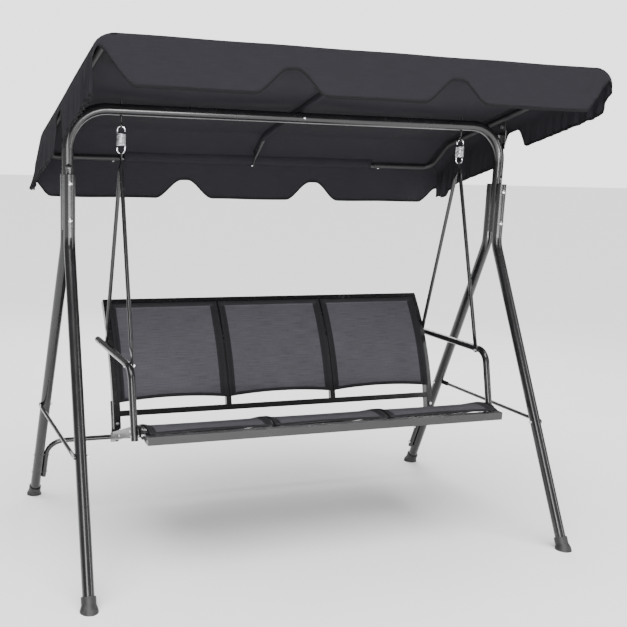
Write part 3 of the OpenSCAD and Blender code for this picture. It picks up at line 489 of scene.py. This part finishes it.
def build_canopy():
    """One cloth: the roof, and a flap that hangs from each edge. The corners are open."""
    cloth = Cloth()
    across, along = canopy_stations()
    nx, ny = len(across), len(along)
    arc_x = [x + math.copysign(d * 0.5, x) for x, d in across]
    arc_y = [y * math.sqrt(1 + ROOF_SLOPE ** 2) for y, _ in along]
    roof = [[cloth.point(roof_point(x, y, xd, yd), (arc_x[i], arc_y[j]))
             for j, (y, yd) in enumerate(along)] for i, (x, xd) in enumerate(across)]
    for i in range(nx - 1):
        for j in range(ny - 1):
            bands = []
            if j in (EDGE_ROUNDS - 1, ny - EDGE_ROUNDS - 1):
                bands.append("seam_long")
            if i in (EDGE_ROUNDS - 1, nx - EDGE_ROUNDS - 1):
                bands.append("seam_side")
            cloth.quad(roof[i][j], roof[i + 1][j], roof[i + 1][j + 1], roof[i][j + 1], *bands)
    edges = {}

    def flap(name, tops, depths, hang, cut_step, flip):
        columns = []
        for top, depth, where in zip(tops, depths, hang):
            column = [top]
            for down in flap_steps(depth):
                a, b = cloth.cut[top]
                column.append(cloth.point(where(cloth.verts[top], down),
                                          (a + cut_step[0] * down, b + cut_step[1] * down)))
            columns.append(column)
        for c, d in zip(columns, columns[1:]):
            for k in range(len(c) - 1):
                bands = ["hem"] if k == len(c) - 2 else []
                quad = (c[k], c[k + 1], d[k + 1], d[k])
                cloth.quad(*(reversed(quad) if flip else quad), *bands)
        edges[name] = columns

    least = 0.012            # a flap is never shallower than this
    xs = [x for x, _ in across]
    ys = [y for y, _ in along]

    def long_hang(function):
        return [lambda top, down, x=x: function(x, top, down) for x in xs]

    flap("front", [roof[i][0] for i in range(nx)],
         [max(least, long_depth(x, VALANCE_D, FRONT_CORNER) - EDGE_DROP - d) for x, d in across],
         long_hang(front_hang), (0, -1), False)
    flap("rear", [roof[i][-1] for i in range(nx)],
         [max(least, long_depth(x, VALANCE_D + REAR_MORE, REAR_CORNER) - EDGE_DROP - d) for x, d in across],
         long_hang(rear_hang), (0, 1), True)
    for side, i, flip in ((-1, 0, True), (1, nx - 1, False)):
        flap("left" if side < 0 else "right", [roof[i][j] for j in range(ny)],
             [max(least, side_depth(y, side) + SIDE_TOP_DROP - HIP_DROP - d) for y, d in along],
             [lambda top, down, y=y: side_hang(y, top, down, side) for y in ys],
             (side, 0), flip)
    return cloth, edges


def column_stitches(cloth, columns, row):
    """A row of stitches across a flap's columns, just above one of its rows."""
    points = [cloth.verts[c[row]].lerp(cloth.verts[c[row - 1]], 0.02) for c in columns]
    normals = []
    for k, c in enumerate(columns):
        a = columns[max(k - 1, 0)]
        b = columns[min(k + 1, len(columns) - 1)]
        across = cloth.verts[b[row]] - cloth.verts[a[row]]
        normals.append(across.cross(cloth.verts[c[row]] - cloth.verts[c[row - 1]]).normalized())
    return points, normals


def hem_stitches(cloth, columns):
    """Stitches along the hem's upper edge, lying on the hem."""
    points, normals = column_stitches(cloth, columns, -2)
    lower = [cloth.verts[c[-1]] for c in columns]
    points = [p.lerp(q, 0.14) for p, q in zip(points, lower)]
    return stitches(points, normals, CLOTH_T)


POCKET_W = 1.06          # the cross bars run in sewn pockets over this width
POCKET_GAP = 0.0022
CENTER_BAR_R = 0.006
CENTER_BAR_DROP = 0.011   # the middle bar's axis lies this far below the roof


def roof_under(x, y):
    """Height of the roof's lower face, rounded down at the front and rear edges."""
    y = min(max(y, FRONT + 0.001), REAR - 0.001)
    e = min(y - FRONT, REAR - y)
    edge = EDGE_DROP * (1 - math.sqrt(1 - max(0.0, 1 - e / EDGE_W) ** 2))
    return roof_point(x, y, 0.0, edge).z - CLOTH_T / 2 - 0.0008


def build_pocket(line, radius):
    """A strip of cloth that hangs round a bar from the roof; line has (the bar's middle, its side way)."""
    cloth = Cloth()
    rows = []
    along = 0.0
    before = line[0][0]
    for middle, side in line:
        along += (middle - before).length
        before = middle
        row = []
        for a in spread(-100, 100, 21):
            turn = math.radians(a)
            r = radius + 0.0009 * math.sin(along * 41 + 0.4) * math.cos(turn)
            place = middle + side * r * math.sin(turn) - Vector((0, 0, r * math.cos(turn)))
            row.append((place, turn * radius))
        for end, out in ((0, -0.004), (-1, 0.004)):
            place = row[end][0] + side * out
            place.y = min(max(place.y, FRONT + 0.003), REAR - 0.003)
            place.z = roof_under(place.x, place.y)
            row.insert(0 if end == 0 else len(row), (place, out + math.copysign(radius * 2, out)))
        rows.append([cloth.point(place, (along, across)) for place, across in row])
    for c, d in zip(rows, rows[1:]):
        for k in range(len(c) - 1):
            cloth.quad(c[k], c[k + 1], d[k + 1], d[k])
    return cloth


def cross_bar_pocket(node):
    low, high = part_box(node)
    y, z = (low.y + high.y) / 2, (low.z + high.z) / 2
    line = [(Vector((x, y, z)), Vector((0, 1, 0))) for x in spread(-POCKET_W / 2, POCKET_W / 2, 60)]
    return build_pocket(line, (high.z - low.z) / 2 + POCKET_GAP)


def center_bar_pocket():
    ys = spread(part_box("canopy_front_bar")[0].y + 0.075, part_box("canopy_rear_bar")[0].y - 0.03, 60)
    line = [(Vector((0, y, roof_line(y) - CENTER_BAR_DROP)), Vector((1, 0, 0))) for y in ys]
    return build_pocket(line, CENTER_BAR_R + POCKET_GAP)


canopy, canopy_edges = build_canopy()
cover = canopy.piece("canopy_fabric", CANOPY_CLOTH, CLOTH_T)
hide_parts("canopy_cover")
canopy_extras = [
    canopy.piece("canopy_hem", CANOPY_HEM, 2 * CLOTH_T, "hem"),
    canopy.piece("canopy_seam_long", CANOPY_HEM, 1.8 * CLOTH_T, "seam_long"),
    canopy.piece("canopy_seam_side", CANOPY_HEM, 1.8 * CLOTH_T, "seam_side"),
    cross_bar_pocket("canopy_front_bar").piece("canopy_front_pocket", CANOPY_CLOTH, CLOTH_T / 2),
    cross_bar_pocket("canopy_rear_bar").piece("canopy_rear_pocket", CANOPY_CLOTH, CLOTH_T / 2),
    center_bar_pocket().piece("canopy_center_pocket", CANOPY_CLOTH, CLOTH_T / 2),
    tube("canopy_stitching", [hem_stitches(canopy, c) for c in canopy_edges.values()], THREAD_R, THREAD),
]
for piece in [cover] + canopy_extras:
    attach(piece, "canopy")
cut_w = 2 * (HALF_W + 0.5 * HIP_DROP + REAR_LOBE)
cut_l = (REAR - FRONT) * math.sqrt(1 + ROOF_SLOPE ** 2) + 2 * VALANCE_D + HEM_ALLOWANCE
min(canopy.area(), cut_w * cut_l)


# ---------------------------------------------------------------- slings

def seat_line(s):
    """(y, z) of the seat rails' upper face at s metres behind the crown's top, and its outward normal."""
    turned = min(s / SEAT_CROWN_R, SEAT_SLOPE)
    past = max(0.0, s - SEAT_SLOPE * SEAT_CROWN_R)
    normal = (math.sin(turned), math.cos(turned))
    y = SEAT_CROWN[0] + SEAT_CROWN_R * normal[0] + past * math.cos(SEAT_SLOPE)
    z = SEAT_CROWN[1] + SEAT_CROWN_R * normal[1] - past * math.sin(SEAT_SLOPE)
    return (y, z), normal


def back_line(s):
    """The same for the back rails' front face, at s metres of arc above the level of the arc's centre."""
    a = s / BACK_R
    normal = (-math.cos(a), math.sin(a))
    return (BACK_CENTRE[0] + BACK_R * normal[0], BACK_CENTRE[1] + BACK_R * normal[1]), normal


def rise(e, setback):
    """How far below a rail's face the cloth lies at distance e from the rail; it laps over the rail."""
    over = -0.0018
    return over + (setback - over) * smooth((e - 0.0015) / 0.012)


EDGE_STEPS = [-LAP, -0.003, 0.0, 0.002, 0.0045, 0.007, 0.0095, 0.012, 0.016, SLEEVE_W]


def build_sling(x0, x1, line, s0, s1, arch, top_rail, setback, slack):
    """A panel between rails at x0 and x1. Its lower or front end arches by arch; the other end runs
    over the top rail, or arches too."""
    cloth = Cloth()
    xs = [x0 + e for e in EDGE_STEPS] + spread(x0 + SLEEVE_W, x1 - SLEEVE_W, 22)[1:-1]
    xs += [x1 - e for e in reversed(EDGE_STEPS)]
    middle, half = (x0 + x1) / 2, (x1 - x0) / 2
    hem = 0.012
    rows = 30
    grid = []
    for x in xs:
        e = min(x - x0, x1 - x)
        bow = max(0.0, 1 - ((x - middle) / half) ** 2)
        low = s0 + arch * bow
        high = s1 if top_rail else s1 - arch * bow
        if top_rail:
            steps = [low, low + hem] + spread(low + hem, high - SLEEVE_W, rows)[1:-1]
            steps += [high - e2 for e2 in reversed(EDGE_STEPS)]
        else:
            steps = [low, low + hem] + spread(low + hem, high - hem, rows)[1:-1] + [high - hem, high]
        column = []
        for s in steps:
            (y, z), normal = line(s)
            sag = slack * bow * (smooth((high - s) / 0.12) if top_rail else 1.0)
            down = rise(e, setback) + sag
            if top_rail:
                down = min(down, rise(s1 - s, setback))
            column.append(cloth.point((x, y - normal[0] * down, z - normal[1] * down), (x, s)))
        grid.append(column)
    last = len(grid[0]) - 1
    for i in range(len(xs) - 1):
        side = i < len(EDGE_STEPS) - 1 or i >= len(xs) - len(EDGE_STEPS)
        for j in range(last):
            ends = j == 0 or (j > last - TOP_STEPS if top_rail else j == last - 1)
            bands = ["sleeve"] if side or ends else []
            cloth.quad(grid[i][j], grid[i + 1][j], grid[i + 1][j + 1], grid[i][j + 1], *bands)
    return cloth, grid


def line_stitches(cloth, run, across):
    """Stitches along a run of the grid's points; across is a neighbouring run on the cloth."""
    points = [cloth.verts[i] for i in run]
    beside = [cloth.verts[i] for i in across]
    normals = []
    for k in range(len(points)):
        along = points[min(k + 1, len(points) - 1)] - points[max(k - 1, 0)]
        normals.append(along.cross(beside[k] - points[k]).normalized())
    points = [p.lerp(q, 0.3) for p, q in zip(points, beside)]
    return stitches(points, normals, SLEEVE_T / 2)


def add_sling(name, node, line, s0, s1, arch, top_rail, setback, slack):
    low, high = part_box(node)
    cloth, grid = build_sling(low.x, high.x, line, s0, s1, arch, top_rail, setback, slack)
    panel = cloth.piece(name, SLING, SLING_T)
    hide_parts(node)
    n = len(EDGE_STEPS)
    runs = [line_stitches(cloth, grid[n - 1], grid[n - 2]), line_stitches(cloth, grid[-n], grid[1 - n])]
    ends = [(1, 0), (-TOP_STEPS, 1 - TOP_STEPS) if top_rail else (-2, -1)]
    for row, beside in ends:
        runs.append(line_stitches(cloth, [c[row] for c in grid], [c[beside] for c in grid]))
    extras = [
        cloth.piece(name + "_sleeves", SLEEVE, SLEEVE_T, "sleeve"),
        tube(name + "_stitching", runs, THREAD_R, THREAD),
    ]
    for piece in [panel] + extras:
        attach(piece, "bench")
    flat_w, flat_l = high.x - low.x + 2 * LAP, s1 - s0 + (LAP if top_rail else 0.0)
    min(cloth.area(), flat_w * flat_l)


BACK_LOW_S = BACK_R * math.radians(15.5)
BACK_TOP_S = BACK_R * math.radians(37.0)
SEAT_FRONT_S = -0.0560
SEAT_REAR_S = 0.355
for place, rails in (("left", ("side_rail_left", "slat_left")),
                     ("middle", ("slat_left", "slat_right")),
                     ("right", ("slat_right", "side_rail_right"))):
    add_sling("back_sling_" + place, "back_panel_" + place, back_line, BACK_LOW_S, BACK_TOP_S,
              BACK_ARCH, True, BACK_SETBACK, BACK_SAG)
    add_sling("seat_sling_" + place, "seat_panel_" + place, seat_line, SEAT_FRONT_S, SEAT_REAR_S,
              SEAT_ARCH, False, SEAT_SETBACK, SEAT_SAG)


# ---------------------------------------------------------------- floor, light and camera

def add_floor():
    size = 60.0
    s = Shader("floor_white", Specular_IOR_Level=0.15)
    mottle = s.noise(s.place(), 3.0, 3.0)
    s.drive(
        Base_Color=s.blend(mottle, grey(0.90), grey(0.94)),
        Roughness=s.spans(mottle, 0.3, 0.7, 0.75, 0.9),
    )
    corners = [(-size, -size, 0), (size, -size, 0), (size, size, 0), (-size, size, 0)]
    floor = add_mesh("floor", corners, [(0, 1, 2, 3)], s.material)


def add_light(name, place, target, size, power):
    light = bpy.data.lights.new(name, "AREA")
    light.shape = "RECTANGLE"
    light.size, light.size_y = size
    light.energy = power
    lamp = bpy.data.objects.new(name, light)
    lamp.location = place
    lamp.rotation_euler = (Vector(target) - Vector(place)).to_track_quat("-Z", "Y").to_euler()
    bpy.context.scene.collection.objects.link(lamp)


def add_soft_sun(direction, strength, spread_deg):
    sun = bpy.data.lights.new("soft_sun", "SUN")
    sun.energy = strength
    sun.angle = math.radians(spread_deg)
    lamp = bpy.data.objects.new("soft_sun", sun)
    lamp.rotation_euler = Vector(direction).to_track_quat("-Z", "Y").to_euler()
    bpy.context.scene.collection.objects.link(lamp)


WORLD_LIGHT = 0.25       # the studio is dim around the lamps
WORLD_SEEN = 2.5         # and its backdrop is white


def add_world():
    world = bpy.data.worlds.new("studio")
    world.use_nodes = True
    background = world.node_tree.nodes["Background"]
    background.inputs["Color"].default_value = (1.0, 1.0, 1.0, 1.0)
    seen = world.node_tree.nodes.new("ShaderNodeLightPath")
    strength = world.node_tree.nodes.new("ShaderNodeMapRange")
    strength.inputs["To Min"].default_value = WORLD_LIGHT
    strength.inputs["To Max"].default_value = WORLD_SEEN
    world.node_tree.links.new(seen.outputs["Is Camera Ray"], strength.inputs["Value"])
    world.node_tree.links.new(strength.outputs[0], background.inputs["Strength"])
    bpy.context.scene.world = world


def add_camera():
    yaw, pitch, roll = (math.radians(a) for a in (19.707, -11.486, 1.687))
    ahead = Vector((math.sin(yaw) * math.cos(pitch), math.cos(yaw) * math.cos(pitch), math.sin(pitch)))
    right = Vector((math.cos(yaw), -math.sin(yaw), 0.0))
    up = right.cross(ahead)
    right, up = (right * math.cos(roll) + up * math.sin(roll), up * math.cos(roll) - right * math.sin(roll))
    data = bpy.data.cameras.new("camera")
    data.sensor_width = 36.0
    data.lens = 54.39
    data.shift_x = 0.1595
    data.shift_y = 0.0611
    camera = bpy.data.objects.new("camera", data)
    camera.matrix_world = Matrix((right, up, -ahead)).transposed().to_4x4()
    camera.location = (-1.4314, -3.138, 1.3489)
    bpy.context.scene.collection.objects.link(camera)
    bpy.context.scene.camera = camera


add_floor()
add_world()
add_light("key", (-2.6, -4.6, 1.7), (0, 0, 1.0), (1.8, 3.0), 160)
add_light("fill", (3.4, -3.0, 1.8), (0, 0, 0.8), (0.8, 3.0), 60)
add_light("rim", (1.5, 3.6, 2.6), (0, 0, 0.9), (2.4, 1.0), 70)
add_light("low", (-0.4, -4.2, 0.5), (0, 0.5, 1.5), (3.0, 0.6), 140)
add_soft_sun((0.15, 0.25, -1.0), 5.4, 60)
add_camera()
